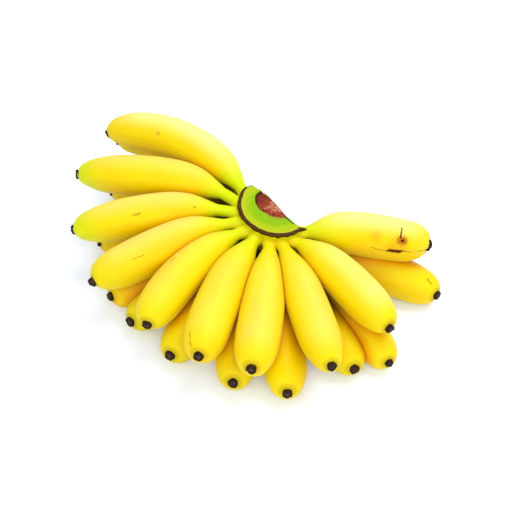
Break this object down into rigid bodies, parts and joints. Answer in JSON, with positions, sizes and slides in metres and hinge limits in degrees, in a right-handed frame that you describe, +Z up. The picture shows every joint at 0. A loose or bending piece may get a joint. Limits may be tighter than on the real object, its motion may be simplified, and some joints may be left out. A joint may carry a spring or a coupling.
{
  "type": "hand of baby bananas",
  "caption": "Whole hand of short plump bananas lying on a surface, its fingers fanned in two rows from a cut crown.",
  "frame": {"origin": "under the middle of the hand's box, on the surface that it lies on", "axes": "+X along the widest reach of the fingers, +Z up; the crown is towards +Y and the front fingers point to -Y"},
  "size_m": [0.254, 0.2324, 0.0789],
  "materials": {
    "banana_skin": "waxy yellow peel, green at the neck, with a dry dark blossom end",
    "crown_rind": "cut green stalk with a dark dried rim and a reddish-brown pith"
  },
  "bodies": {
    "root": {"crown": "crown_rind", "finger_upper_01": "banana_skin", "finger_upper_02": "banana_skin", "finger_upper_03": "banana_skin", "finger_upper_04": "banana_skin", "finger_upper_05": "banana_skin", "finger_upper_06": "banana_skin", "finger_upper_07": "banana_skin", "finger_upper_08": "banana_skin", "finger_upper_09": "banana_skin", "finger_upper_10": "banana_skin", "finger_lower_01": "banana_skin", "finger_lower_02": "banana_skin", "finger_lower_03": "banana_skin", "finger_lower_04": "banana_skin", "finger_lower_05": "banana_skin", "finger_lower_06": "banana_skin", "finger_lower_07": "banana_skin", "finger_lower_08": "banana_skin", "finger_lower_09": "banana_skin", "finger_lower_10": "banana_skin", "finger_lower_11": "banana_skin"}
  },
  "joints": []
}
